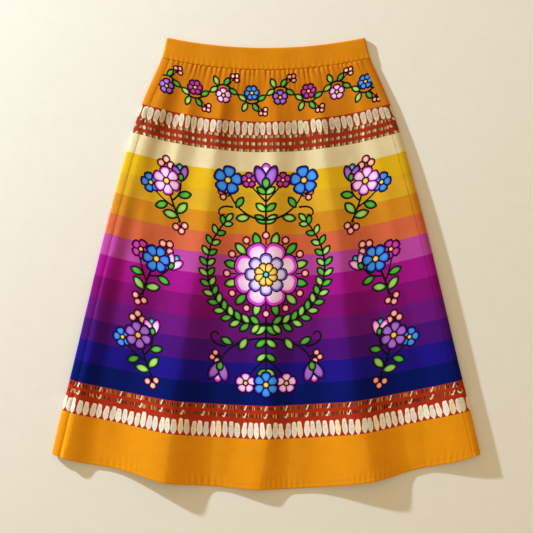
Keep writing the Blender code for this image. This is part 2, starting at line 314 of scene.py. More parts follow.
def gather_height(share, below_seam):
    """The lift of the gathers, with broad crests and narrow troughs, uneven in depth."""
    number = np.interp(share, CRESTS, np.arange(-1, GATHERS + 1))
    trough = 1 - (0.5 + 0.5 * np.cos(2 * np.pi * number)) ** TROUGH_NARROW
    depth, length = TROUGHS[np.floor(number).astype(int) + 1].T
    at_side = np.minimum((1 - np.abs(share)) * GATHERS / 2, 1)
    below = np.maximum(below_seam, 0)
    crest = np.exp(-((below / GATHER_LENGTH) ** GATHER_FALL))
    sunk = depth * trough * np.minimum(np.exp(-((below / length) ** GATHER_FALL)), crest)
    return GATHER_HEIGHT * at_side * (crest - sunk)


Ripple = namedtuple("Ripple", "share end_share height width length")


def make_ripples():
    """Small soft ripples that run on down from the gathers, uneven in every size."""
    rng = random.Random(11)
    ripples = []
    for n in range(RIPPLES_ACROSS):
        share = -0.95 + 1.9 * (n + rng.uniform(0.1, 0.9)) / RIPPLES_ACROSS
        ripples.append(Ripple(share, share + rng.uniform(-0.02, 0.02),
                              rng.uniform(0.0005, 0.0013), rng.uniform(0.006, 0.013),
                              rng.uniform(0.05, 0.22)))
    return ripples


RIPPLES = make_ripples()


def ripple_height(across, drop):
    """The lift of the ripples."""
    total = 0
    edge = front_edge(drop)
    below = np.maximum(drop - WAISTBAND_DEPTH, 0)
    rise = np.minimum(below / RIPPLE_RISE, 1)
    for ripple in RIPPLES:
        run = np.minimum(below / ripple.length, 1)
        middle = (ripple.share + (ripple.end_share - ripple.share) * run) * edge
        bump = np.exp(-((across - middle) / ripple.width) ** 2)
        total = total + ripple.height * rise * (1 - run) * bump
    return total


def front_height(across, drop):
    """The outside of the front panel."""
    below = drop - WAISTBAND_DEPTH
    base = FRONT_BASE + (SEAM_BASE - FRONT_BASE) * fading(below, SEAM_EASE)
    edge = front_edge(drop)
    left = fading(across + edge, level("left_ease", drop))
    to_side = np.clip((edge - across) / level("right_ease", drop), 0, 1)
    right = (1 - SIDE_STRAIGHT) * fading(to_side, 1) + SIDE_STRAIGHT * (1 - to_side)
    lifted = base + fold_height(across, drop) * (1 - left) * (1 - right)
    shoulder = down_table(SHOULDERS, "rise", drop) * np.clip(below / FOLDS_START, 0, 1)
    reach, fall = (down_table(SHOULDERS, column, drop) for column in ("reach", "fall"))
    past = across + edge - reach
    soft = (lifted + (level("left_height", drop) - base) * left
            + (level("right_height", drop) - base) * right
            + shoulder * fading(past, np.where(past < 0, reach, fall)))
    inside = np.clip((edge - np.abs(across)) / RIPPLE_MARGIN, 0, 1)
    return (soft + gather_height(across / edge, below) + ripple_height(across, drop) * inside
            - sewn_in(across, drop, edge, below))


def dented(dent, distance):
    """How far a dent pulls the cloth down at a distance from its middle."""
    return dent.depth * np.exp(-(distance / dent.reach) ** 2)


def puckered(across, wander, reach):
    """A wave of puckers whose pitch wanders."""
    return np.sin(across / PUCKER + wander * np.sin(across / reach))


def sewn_in(across, drop, edge, below):
    """How far the seams, the hem's stitching and its edge pull the front down."""
    up = SKIRT_LENGTH - drop - HEM_STITCHING
    uneven = puckered(across, 3, 0.031) * (1 + np.sin(across / 0.023))
    return (dented(WAIST_DENT, np.maximum(below - SEAM_GAP, 0))
            + dented(SIDE_DENT, edge - np.abs(across)) + dented(STITCH_DENT, up)
            + dented(HEM_PUCKER, up) * uneven + dented(EDGE_DENT, SKIRT_LENGTH - drop))


def front_place(x, s):
    """A point of the front panel's chart in space."""
    across, drop = x * MM, s * MM
    return np.stack([across, on_plan(across, drop), front_height(across, drop)], axis=-1)


def back_place(x, s):
    """A point of the back panel's chart in space: flat underneath, rolled at the sides."""
    across, drop = x * MM, s * MM
    centre = level("half_width", drop) - SIDE_ROLL
    round_side = np.clip((np.abs(across) - centre) / (ROLL_CLOTH * MM), 0, 1)
    angle = -np.pi / 2 + np.pi * round_side
    side = np.sign(across)
    height = np.where(side < 0, level("left_height", drop), level("right_height", drop))
    flat = np.minimum(np.abs(across), centre)
    px = side * (flat + np.where(round_side > 0, SIDE_ROLL * np.cos(angle), 0))
    pz = np.where(round_side > 0, height / 2 * (1 + np.sin(angle)), 0)
    seam = dented(SIDE_DENT, (1 - round_side) * ROLL_CLOTH * MM) * (round_side > 0.5)
    stitched = (dented(STITCH_DENT, SKIRT_LENGTH - drop - HEM_STITCHING)
                * np.clip(round_side * 3 - 1.5, 0, 1))
    return np.stack([px, on_plan(px, drop), pz - seam - stitched], axis=-1)


# Painting a chart

GATHERED_TO = 80.0           # above this drop the outlines follow the gathers closely
GATHERED_PIECE = 1.6         # the longest straight piece of an outline there
PLAIN_PIECE = 5.0            # and elsewhere
EDGE_STEP = 7.0              # between the points of a panel's side edge


class Chart:
    """Painted outlines on a flat panel, the later ones on top."""

    def __init__(self):
        self.points, self.outlines, self.paints = [], [], []

    def shape(self, outline, paint, inner=()):
        """Adds one outline, painted in one colour or by a function. The outlines all turn
        the same way, as the triangulation asks."""
        turn = sum(a[0] * b[1] - b[0] * a[1] for a, b in zip(outline, outline[1:] + outline[:1]))
        outline = outline if turn > 0 else outline[::-1]
        start = len(self.points)
        for a, b in zip(outline, outline[1:] + outline[:1]):
            longest = GATHERED_PIECE if min(a[1], b[1]) < GATHERED_TO else PLAIN_PIECE
            pieces = math.ceil(math.dist(a, b) / longest)
            self.points.extend((a[0] + (b[0] - a[0]) * k / pieces,
                                a[1] + (b[1] - a[1]) * k / pieces) for k in range(pieces))
        self.outlines.append(list(range(start, len(self.points))))
        self.points.extend(inner)
        self.paints.append(paint if callable(paint) else flat_paint(paint))


def flat_paint(colour):
    """One colour all over."""
    tone = linear(colour)
    return lambda spots: np.broadcast_to(tone, (len(spots), 3))


def round_paint(edge, core, middle, axis, half_width):
    """A colour at the rim of an oval that turns into another at its middle. axis runs
    half the oval's length."""
    edge, core = linear(edge), linear(core)
    half_length = np.linalg.norm(axis)
    along = axis / half_length
    athwart = np.array((-along[1], along[0]))

    def colours(spots):
        away = spots - middle
        reach = np.hypot(away @ along / half_length, away @ athwart / half_width)
        return core + (edge - core) * np.clip(reach, 0, 1)[:, None] ** 3
    return colours


class Pen:
    """Draws on a chart about one spot, at a turn, a size and a side."""

    def __init__(self, chart, x, y, angle=0.0, scale=1.0, side=1):
        self.chart, self.x, self.y, self.scale, self.side = chart, x, y, scale, side
        self.cos, self.sin = math.cos(math.radians(angle)), math.sin(math.radians(angle))

    def at(self, u, v):
        """A local point, u to the right and v up, as one of the chart."""
        across = self.side * self.scale * (u * self.cos - v * self.sin)
        up = self.scale * (u * self.sin + v * self.cos)
        return self.x + across, self.y - up

    def shape(self, outline, paint, inner=()):
        """Adds an outline of local points to the chart."""
        self.chart.shape([self.at(*p) for p in outline], paint, [self.at(*p) for p in inner])


def beyond(u, v, angle, distance):
    """The local point at a distance from (u, v), at an angle to the left of straight up."""
    a = math.radians(angle)
    return u - distance * math.sin(a), v + distance * math.cos(a)


def heading(step):
    """The angle of a step to the left of straight up."""
    return math.degrees(math.atan2(-step[0], step[1]))


OUTLINE = 2.5                # width of the dark line round each motif, in millimetres
OUTLINE_POINTS = 0.36        # on each side of a petal, for each millimetre of its length
RIM_SHARE = 0.8              # how far a petal's paler middle reaches towards its edge


def petal(pen, u, v, angle, length, width, colours, taper=0.5, point=1.0, count=None):
    """A petal, leaf or berry that grows from (u, v), with a dark line round it."""
    edge, core = colours
    turn = math.radians(angle)
    count = count or 2 * max(5, min(13, int(length * pen.scale * OUTLINE_POINTS)))

    def outline(grow, share=1.0):
        spots = []
        for k in range(count):
            phi = 2 * math.pi * k / count
            t = (1 - math.cos(phi)) / 2
            w = abs(math.sin(phi)) ** point * (taper + (1 - taper) * t) * (width / 2 + grow)
            w *= share if phi < math.pi else -share
            h = length / 2 + ((t - 0.5) * (length + 2 * grow)) * share
            spots.append((u + w * math.cos(turn) - h * math.sin(turn),
                          v + w * math.sin(turn) + h * math.cos(turn)))
        return spots

    middle, tip = (np.array(pen.at(*beyond(u, v, angle, h))) for h in (length / 2, length))
    core_spot = beyond(u, v, angle, length * (0.5 + 0.09 * (1 - taper)))
    paint = round_paint(edge, core, pen.at(*core_spot), tip - middle, width / 2 * pen.scale)
    pen.shape(outline(OUTLINE / pen.scale), INK)
    pen.shape(outline(0), edge)
    pen.shape(outline(0, RIM_SHARE), paint, outline(0, 0.5)[::2] + [core_spot])


def dot(pen, u, v, radius, colours, count=12):
    """A round spot."""
    petal(pen, u, v - radius, 0, 2 * radius, 2 * radius, colours, 1.0, 1.0, count)


def dark_line(pen, spots, width, thinning=0.35):
    """A dark line through local points, which thins by a share towards its end."""
    steps = len(spots) - 1
    left, right = [], []
    for k, spot in enumerate(spots):
        ahead = spots[min(k + 1, steps)] - spots[max(k - 1, 0)]
        across = np.array((-ahead[1], ahead[0])) / np.linalg.norm(ahead)
        half = width / 2 / pen.scale * (1 - thinning * k / steps)
        left.append(spot + across * half)
        right.append(spot - across * half)
    pen.shape(left + right[::-1], INK)
    return spots


def stem(pen, points, width=4.0, steps=12):
    """A dark line along the smooth curve that three or four local points guide."""
    points = [np.array(p, float) for p in points]
    n = len(points) - 1
    spots = [sum(math.comb(n, i) * t ** i * (1 - t) ** (n - i) * points[i]
                 for i in range(n + 1)) for t in (k / steps for k in range(steps + 1))]
    return dark_line(pen, spots, width)


def tendril(pen, u, v, angle, length, turn, width=3.6, steps=26):
    """A dark line that runs out from (u, v) and curls up at its end."""
    spots = [np.array((u, v), float)]
    for t in (k / steps for k in range(steps)):
        reach = length / steps * (1.33 - 0.67 * t)
        spots.append(np.array(beyond(*spots[-1], angle + turn * t ** 1.9, reach)))
    dark_line(pen, spots, width)


# Each colour of a motif is that of its rim and that of its middle
GREEN = ((4, 104, 20), (176, 222, 110))
DEEP_GREEN = ((4, 84, 18), (96, 188, 66))
PINK = ((224, 62, 216), (254, 222, 250))
VIOLET = ((76, 20, 140), (182, 116, 220))
BLUE = ((6, 44, 176), (74, 158, 252))
BERRY = ((214, 74, 84), (255, 204, 190))
MAGENTA = ((106, 2, 88), (208, 62, 172))
YELLOW = ((218, 140, 14), (255, 230, 116))
TEAL = ((14, 140, 164), (120, 236, 222))
LILAC = ((128, 96, 214), (234, 224, 252))


def flower(pen, u, v, radius, petals, colours, eye=YELLOW, turn=0.0, width=0.9):
    """A flower seen from the front, with petals round an eye."""
    breadth = 2 * radius * math.sin(math.pi / petals) * width
    start = radius * 0.16
    for angle in (turn + 360 * k / petals for k in range(petals)):
        petal(pen, *beyond(u, v, angle, start), angle, radius - start, breadth, colours,
              0.42, 0.8)
    dot(pen, u, v, radius * 0.2, eye)


def tulip(pen, u, v, angle, size, colours, inner):
    """A cup-shaped flower with three points, seen from the side."""
    petal(pen, u, v, angle, size * 1.02, size * 0.52, inner, 0.6, 1.1)
    for lean in (24, -24):
        petal(pen, u, v, angle + lean, size, size * 0.48, colours, 0.8, 1.25)
    petal(pen, u, v, angle, size * 0.42, size * 0.34, DEEP_GREEN, 0.7, 1.0)


def leaf(pen, u, v, angle, length, colours=GREEN):
    """A pointed leaf."""
    petal(pen, u, v, angle, length, length * 0.54, colours, 0.88, 1.5)


def berries(pen, u, v, angle, size):
    """Three berries on short stalks."""
    for lean, reach in ((-38, 0.85), (0, 1.2), (38, 0.85)):
        end = beyond(u, v, angle + lean, size * reach * 1.5)
        stem(pen, ((u, v), ((u + end[0]) / 2, (v + end[1]) / 2), end), 1.8, 3)
        dot(pen, *end, size * 0.5, BERRY, 10)


def branch(pen, points, pairs, length, steps, width=4.2, spread=54):
    """A curved stem with leaves in pairs along it and one at its tip."""
    spots = stem(pen, points, width, steps)
    for k in range(1, pairs + 1):
        i = round(steps * (k - 0.3) / (pairs + 0.2))
        ahead = heading(spots[i + 1] - spots[i - 1])
        size = length * (1 - 0.25 * k / pairs)
        for lean in (spread, -spread):
            leaf(pen, *spots[i], ahead + lean, size,
                 GREEN if (k + (lean > 0)) % 2 else DEEP_GREEN)
    leaf(pen, *spots[-1], heading(spots[-1] - spots[-2]), length * 0.8)


def posy(pen, main, second, cup):
    """A bunch on its own: a main flower, a smaller one, a tulip, leaves and berries."""
    stem(pen, ((0, -42), (3, -18), (0, 2), (-2, 20)))
    stem(pen, ((1, -24), (12, -14), (19, 2)), 3.4)
    stem(pen, ((1, -16), (-14, -12), (-18, 6)), 3.4)
    leaf(pen, 0, -31, 62, 17)
    leaf(pen, 1, -35, -62, 17)
    leaf(pen, 8, -18, -94, 15, DEEP_GREEN)
    leaf(pen, -9, -12, 96, 15, DEEP_GREEN)
    berries(pen, 1, -40, 186, 7)
    berries(pen, -3, 19, 24, 7.5)
    tulip(pen, -18, 4, 14, 19, cup, TEAL)
    flower(pen, 20, 8, 11, 5, second)
    flower(pen, 0, 7, 16, 6, main, turn=10)


def rosette(pen):
    """The large round flower in the middle, in a ring of leaves and berries."""
    for angle in range(0, 360, 30):
        stem(pen, [beyond(0, 0, angle, reach) for reach in (52, 60, 66)], 3.0, 3)
        dot(pen, *beyond(0, 0, angle, 69), 5.2, BERRY)
    for k in range(12):
        angle = 30 * k + 15
        leaf(pen, *beyond(0, 0, angle, 50), angle, 25, GREEN if k % 2 else DEEP_GREEN)
    flower(pen, 0, 0, 57, 8, PINK, turn=22.5, width=1.0)
    flower(pen, 0, 0, 36, 8, LILAC, width=0.92)
    flower(pen, 0, 0, 20, 8, YELLOW, TEAL, 22.5, 0.95)


def half_wreath(pen):
    """A leafy branch that curves up round the rosette, with stems of flowers on its side
    above and below."""
    branch(pen, ((0, -86), (88, -104), (142, 10), (70, 92)), 14, 21, 42, 4.4, 46)
    stem(pen, ((0, 96), (26, 96), (60, 116), (66, 150)), steps=14)
    leaf(pen, 30, 101, -100, 22)
    leaf(pen, 52, 118, 34, 20, DEEP_GREEN)
    berries(pen, 64, 136, -64, 9)
    flower(pen, 67, 164, 24, 5, BLUE, turn=8)
    stem(pen, ((0, 128), (12, 140), (26, 156)), 3.6, 6)
    flower(pen, 30, 166, 13, 5, MAGENTA)
    stem(pen, ((0, -112), (40, -112), (78, -132), (80, -160)), steps=14)
    leaf(pen, 34, -113, -148, 23)
    leaf(pen, 60, -124, -62, 21, DEEP_GREEN)
    berries(pen, 79, -146, -100, 9)
    tendril(pen, 58, 117, -84, 46, -290)
    tendril(pen, 70, -129, -82, 56, 290)
    tulip(pen, 80, -156, 190, 36, VIOLET, PINK)
    stem(pen, ((0, -150), (18, -160), (32, -182)), 3.6, 6)
    flower(pen, 36, -192, 17, 5, PINK)


def upended(angle, up):
    """An angle, mirrored top to bottom where up is -1."""
    return 90 - up * (90 - angle)


def garland(pen, period, swing, bends):
    """A wavy stem, with the same few flowers in its bends again and again."""
    places = [(n, 1 if n % 2 == 0 else -1, period / 2 * (n + 0.5))
              for n in range(-bends // 2, bends // 2)]
    for _, up, bend in places:
        stem(pen, ((bend - 14, up * swing * 0.7), (bend - 9, up * 2), (bend, -up * 4)), 2.4, 5)
        stem(pen, ((bend + 7, up * swing * 0.9), (bend + 14, up * swing * 1.3),
                   (bend + 17, up * swing * 1.7)), 2.2, 5)
    wave = [np.array((x, swing * math.sin(2 * math.pi * x / period)))
            for x in (1.9 * k for k in range(-132, 133))]
    dark_line(pen, wave, 3.4, 0)
    for n, up, bend in places:
        leaf(pen, bend - 9, up * swing * 0.9, upended(24, up), 16)
        leaf(pen, bend + 2, up * swing, upended(-36, up), 15, DEEP_GREEN)
        leaf(pen, bend + 24, up, upended(62, up), 15, DEEP_GREEN)
        leaf(pen, bend + 27, -up, upended(-124, up), 15)
        berries(pen, bend + 16, up * swing * 1.55, upended(-40, up), 6.5)
        kind = (VIOLET, MAGENTA, PINK, BLUE)[n % 4]
        flower(pen, bend, -up * 4, 12.5, 5 + n % 2, kind, turn=36 if up < 0 else 0)


ROSETTE_DROP = 400
GARLAND_DROP = 84
# Each row of posies: how far down and across, its lean, and the colours of its flowers
POSIES = (
    (262, 172, -20, (PINK, BLUE, VIOLET)),
    (400, 197, 20, (BLUE, MAGENTA, PINK)),
    (538, 222, -20, (VIOLET, BLUE, PINK)),
)


def flower_print(chart):
    """The generic print on the front: a garland on the yoke, a rosette in a wreath with
    upright stems of flowers above and below, and posies at each side."""
    garland(Pen(chart, 0, GARLAND_DROP), 100.0, 15.0, 8)
    middle = Pen(chart, 0, ROSETTE_DROP)
    branch(middle, ((0, 70), (0, 110), (0, 158)), 3, 25, 12)
    branch(middle, ((0, -76), (0, -120), (0, -176)), 4, 25, 12)
    for side in (1, -1):
        half_wreath(Pen(chart, 0, ROSETTE_DROP, side=side))
    tulip(middle, 0, 152, 0, 42, VIOLET, PINK)
    flower(middle, 0, -194, 22, 6, BLUE)
    rosette(middle)
    for drop, across, lean, colours in POSIES:
        for side in (1, -1):
            posy(Pen(chart, side * across, drop, lean, 1.45, side), *colours)


# Borders

Block = namedtuple("Block", "across width height colour")
OLIVE, BROWN, TAN, DARK = (96, 72, 32), (116, 60, 28), (184, 124, 68), (46, 34, 22)
LIGHT_TAN = (206, 146, 78)
WHITE = (238, 222, 188)
BEAD_GROUND = (134, 52, 26)
UPPER_REPEAT = 21.4
UPPER_BLOCKS = (
    Block(0.0, 4.2, 6.2, (220, 200, 160)), Block(4.0, 2.2, 5.2, OLIVE),
    Block(7.2, 2.6, 5.6, TAN), Block(10.8, 3.4, 5.6, (198, 170, 122)),
    Block(14.3, 2.4, 5.2, BROWN), Block(17.6, 2.6, 5.4, (176, 140, 84)),
)
WEAVE = (DARK, DARK, DARK, OLIVE, OLIVE, BROWN, TAN, LIGHT_TAN)
STROKE_REPEAT = 36.6
OVAL_REPEAT = 11.2

# An oval's half width at heights up it, both as shares
Part = namedtuple("Part", "height width")
UPPER_OVAL = (
    Part(0.00, 0.30), Part(0.06, 0.58), Part(0.16, 0.76), Part(0.32, 0.88),
    Part(0.50, 0.97), Part(0.68, 1.00), Part(0.84, 0.90), Part(0.94, 0.70),
    Part(1.00, 0.34),
)
LOWER_OVAL = (
    Part(0.00, 0.16), Part(0.08, 0.48), Part(0.20, 0.84), Part(0.36, 1.00),
    Part(0.54, 0.96), Part(0.70, 0.82), Part(0.86, 0.74), Part(0.95, 0.68),
    Part(1.00, 0.36),
)


def slanted(x, y, width, height, lean=0.0):
    """Corners of an upright block about (x, y), with its top moved right by lean and its
    foot moved left as far."""
    a, b = width / 2, height / 2
    return [(x - a - lean, y + b), (x + a - lean, y + b), (x + a + lean, y - b),
            (x - a + lean, y - b)]


def rounded(x, y, width, height):
    """Corners of a small block about (x, y), with its own corners cut off."""
    a, b = width / 2, height / 2
    c, d = a * 0.45, b * 0.5
    return [(x - c, y + b), (x + c, y + b), (x + a, y + d), (x + a, y - d),
            (x + c, y - b), (x - c, y - b), (x - a, y - d), (x - a, y + d)]


def shade(colour, factor):
    """A colour made lighter or darker."""
    return tuple(min(c * factor, 255) for c in colour)


def repeats(reach, spacing):
    """Numbers of the places at even distances from the middle, to past both sides."""
    count = int(reach / spacing) + 1
    return range(-count, count + 1)


def beaded_row(chart, rng, y, share, reach):
    """A row of small round blocks on brownish red."""
    chart.shape(slanted(0, y, 2 * reach + 12, 5.4 * share), BEAD_GROUND)
    for n in repeats(reach, UPPER_REPEAT):
        for block in UPPER_BLOCKS:
            x = n * UPPER_REPEAT + block.across + rng.uniform(-0.4, 0.4)
            if rng.random() > 0.06:
                chart.shape(rounded(x, y + rng.uniform(-0.5, 0.5),
                                    block.width * rng.uniform(0.85, 1.1),
                                    block.height * share * rng.uniform(0.86, 1.08)),
                            shade(block.colour, rng.uniform(0.84, 1.10)))


def woven_row(chart, rng, y, height, reach, ticks):
    """A row of thin upright strokes, uneven in height and colour, with slanted white
    strokes at even distances, and a tick beside each of them where asked."""
    x = -reach - 6
    while x < reach + 6:
        width = rng.uniform(1.0, 2.3)
        colour = rng.choice(WEAVE)
        chart.shape(slanted(x, y + rng.uniform(-0.8, 0.8), width,
                            height * rng.uniform(0.62, 1.0)),
                    shade(colour, rng.uniform(0.85, 1.15)))
        x += width + rng.uniform(0.5, 1.6)
    for n in repeats(reach, STROKE_REPEAT):
        x = n * STROKE_REPEAT + rng.uniform(-0.5, 0.5)
        chart.shape(slanted(x, y, 2.3, height * 1.1, 1.7), WHITE)
        if ticks:
            chart.shape(slanted(x - 3.0, y + height * 0.34, 1.8, height * 0.40, -0.9),
                        WHITE)


def oval(pen, rng, length, width, parts, rim, middle):
    """One upright oval with a ragged outline."""
    sides = [[(side * width / 2 * part.width * rng.uniform(0.90, 1.08),
               length * (part.height + rng.uniform(-0.02, 0.02))) for part in parts]
             for side in (1, -1)]
    centre, top = (np.array(pen.at(0, v)) for v in (length / 2, length))
    pen.shape(sides[0] + sides[1][::-1],
              round_paint(rim, middle, centre, top - centre, width / 2),
              [(0, length * t) for t in (0.25, 0.5, 0.75)])


def speck(pen, u, v, width, height, colour):
    """A small lozenge."""
    corners = ((0, -height), (width, 0), (0, height), (-width, 0))
    pen.shape([(u + a / 2, v + b / 2) for a, b in corners], colour)


def upper_oval(pen, rng, length, width, tone):
    """An ivory oval, paler at its rim, with dark and light specks all over."""
    oval(pen, rng, length, width, UPPER_OVAL, shade((232, 216, 182), tone),
         shade((200, 182, 150), tone))
    for _ in range(4):
        speck(pen, rng.uniform(-0.26, 0.26) * width, length * rng.uniform(0.2, 0.9),
              rng.uniform(0.9, 1.6), rng.uniform(1.6, 4.6),
              rng.choice(((146, 116, 84), (170, 140, 104), (240, 230, 206))))


def lower_oval(pen, rng, length, width, tone):
    """A whiter oval, now and then a yellower one, with a dark speck near its top and light
    ones below."""
    ivory = (248, 228, 184) if rng.random() < 0.14 else (250, 238, 214)
    oval(pen, rng, length, width, LOWER_OVAL, shade(ivory, tone), shade(ivory, tone * 0.95))
    speck(pen, rng.uniform(-0.6, 0.6), length * rng.uniform(0.66, 0.78),
          rng.uniform(1.0, 1.5), rng.uniform(1.2, 2.6), (96, 62, 44))
    for _ in range(3):
        speck(pen, rng.uniform(-0.26, 0.26) * width, length * rng.uniform(0.15, 0.62),
              rng.uniform(0.9, 1.5), rng.uniform(1.6, 4.4),
              rng.choice(((206, 178, 138), (232, 186, 112))))


def ovals(chart, rng, top, length, width, reach, lean, draw):
    """A row of upright ovals, each a little different, that lean with the sides."""
    for n in repeats(reach, OVAL_REPEAT)[:-1]:
        x = (n + 0.5) * OVAL_REPEAT + rng.uniform(-0.4, 0.4)
        long = length * rng.uniform(0.93, 1.04)
        y = top + length + rng.uniform(-0.8, 0.8)
        broad = width * rng.uniform(0.88, 1.06)
        own_lean = lean * max(-1, min(x / (reach - 20), 1)) + rng.uniform(-4, 4)
        draw(Pen(chart, x, y, own_lean), rng, long, broad, rng.uniform(0.93, 1.05))


def borders(chart, reach_at, seed):
    """The two red borders, each with ovals and woven rows."""
    rng = random.Random(seed)
    reach = reach_at(186)
    for y, share in ((157.2, 1.0), (169.8, 1.0), (181.6, 0.9)):
        beaded_row(chart, rng, y, share, reach)
    ovals(chart, rng, 130.8, 23.6, 9.6, reach, 16.0, upper_oval)
    reach = reach_at(690)
    for y, ticks in ((636.0, False), (649.4, True)):
        woven_row(chart, rng, y, 7.6, reach, ticks)
    ovals(chart, rng, 661.0, 28.4, 10.2, reach, 13.0, lower_oval)


# Turning a chart into cloth

def edge_run(reach_at, side):
    """Points down one edge of a panel's chart."""
    count = int((HEM - TOP) / EDGE_STEP)
    rows = [TOP + (HEM - TOP) * k / count for k in range(count + 1)]
    return [(side * reach_at(drop), drop) for drop in rows]


def panel_chart(reach_at):
    """A chart with its outline first and the bands of colour on it."""
    chart = Chart()
    chart.shape(edge_run(reach_at, 1) + edge_run(reach_at, -1)[::-1], BANDS[0].colour)
    edges = [max(band.start, TOP) for band in BANDS] + [HEM]
    for band, top, bottom in zip(BANDS, edges, edges[1:]):
        chart.shape([(reach_at(top) + 1, top), (reach_at(bottom) + 1, bottom),
                     (-reach_at(bottom) - 1, bottom), (-reach_at(top) - 1, top)], band.colour)
    return chart


def side_columns(reach_at, start, end, step, distances):
    """Points in columns along both sides, so that the mesh follows the side seams."""
    points = []
    for drop in np.arange(start, end, step):
        slope = reach_at(drop + 0.5) - reach_at(drop - 0.5)
        length = math.hypot(1, slope)
        for away in distances:
            x, y = reach_at(drop) - away / length, drop + away * slope / length
            points += [(x, y), (-x, y)]
    return points


def grid_points(reach_at, rows, clear=(0, 0), margin=7.0):
    """Points that make the mesh follow the folds. Each row is its drop and its spacing.
    Between the two drops in clear the rows end short of the sides."""
    points = []
    for n, (drop, spacing) in enumerate(rows):
        reach = reach_at(drop)
        count = int(reach * 2 / spacing)
        shift = 0.25 * spacing * (n % 2)
        for k in range(1, count):
            x = -reach + 2 * reach * k / count + shift
            if abs(x) < reach - (margin if clear[0] < drop < clear[1] else 0.4):
                points.append((x, drop))
    return points


def in_space(place, flat, outward):
    """Points of a chart in space, and the cloth's normals there."""
    x, s, step = flat[:, 0], flat[:, 1], 0.25
    normals = np.cross(place(x, s + step) - place(x, s - step),
                       place(x + step, s) - place(x - step, s))
    return place(x, s), outward * normals / np.linalg.norm(normals, axis=1, keepdims=True)


WELD = 1e-4                  # points of a chart that are nearer than this become one


def triangulated(spots, outlines):
    """The part of a chart inside its first outline: its points, its triangles, which all
    turn the same way, the outlines over each triangle and the spots at each point."""
    points, _, triangles, came_from, _, over = delaunay_2d_cdt(
        [Vector(p) for p in spots], [], outlines, 1, WELD)
    keep = [k for k, sources in enumerate(over) if 0 in sources and len(triangles[k]) == 3]
    flat = np.array([tuple(p) for p in points])
    triangles = np.array([triangles[k] for k in keep])
    a, b, c = (flat[triangles[:, k]] for k in range(3))
    area = (b[:, 0] - a[:, 0]) * (c[:, 1] - a[:, 1]) - (b[:, 1] - a[:, 1]) * (c[:, 0] - a[:, 0])
    triangles[area > 0] = triangles[area > 0][:, ::-1]
    used = np.unique(triangles)
    number = np.full(len(flat), -1)
    number[used] = np.arange(len(used))
    return flat[used], number[triangles], [over[k] for k in keep], [came_from[k] for k in used]


def rim_loop(triangles):
    """The points round the open edge of a sheet of triangles, in order."""
    edges = np.concatenate([triangles[:, [0, 1]], triangles[:, [1, 2]], triangles[:, [2, 0]]])
    known = {(u, v) for u, v in edges.tolist()}
    after = {u: v for u, v in known if (v, u) not in known}
    loop = [min(after)]
    while after[loop[-1]] != loop[0]:
        loop.append(after[loop[-1]])
    return loop


def lining_of(flat, loop, grid):
    """A coarse second layer with the same rim. Returns its points, its triangles and
    where each point of the rim is in it."""
    rim = loop[::-1]
    inner, triangles, _, came_from = triangulated([flat[k] for k in rim] + grid,
                                                  [list(range(len(rim)))])
    rim_in = {rim[source]: k for k, sources in enumerate(came_from)
              for source in sources if source < len(rim)}
    return inner, triangles, rim_in


def painted(chart, flat, triangles, over):
    """The colour at each corner of each triangle, from the uppermost outline over it."""
    colours = np.zeros((len(triangles), 3, 3))
    uppermost = np.array([max(outlines) for outlines in over])
    for k in np.unique(uppermost):
        mine = np.flatnonzero(uppermost == k)
        corners = flat[triangles[mine]].reshape(-1, 2)
        colours[mine] = chart.paints[k](corners).reshape(-1, 3, 3)
    return colours


def tint(mesh, colours):
    """Lays a colour on each corner of a mesh."""
    rgba = np.concatenate([colours, np.ones((len(colours), 1))], axis=1)
    layer = mesh.color_attributes.new("print", "FLOAT_COLOR", "CORNER")
    layer.data.foreach_set("color", rgba.astype(np.float32).reshape(-1))


def unwrap(mesh, flat, inner):
    """Lays the chart out as the texture layer, with the inside small in a corner."""
    low, size = flat.min(axis=0), np.ptp(flat, axis=0).max()
    uv = 0.01 + 0.98 * (np.concatenate([flat, inner]) - low) / size
    uv[:, 1] = 1 - uv[:, 1]
    uv[len(flat):] = uv[len(flat):] * 0.15 + (0.01, 0.83)
    loops = np.zeros(len(mesh.loops), dtype=np.int32)
    mesh.loops.foreach_get("vertex_index", loops)
    layer = mesh.uv_layers.new(name="OFBake")
    layer.data.foreach_set("uv", uv[loops].astype(np.float32).reshape(-1))


def new_object(name, points, faces, material):
    """A smooth mesh in the scene."""
    mesh = bpy.data.meshes.new(name)
    mesh.from_pydata(points, [], faces)
    mesh.shade_smooth()
    mesh.materials.append(material)
    made = bpy.data.objects.new(name, mesh)
    bpy.context.scene.collection.objects.link(made)
    return made


INSIDE_CLOTH = (236, 220, 196)
INSIDE_PLAIN, INSIDE_PRINT = 0.55, 0.30     # how much of the cloth and of the print shows


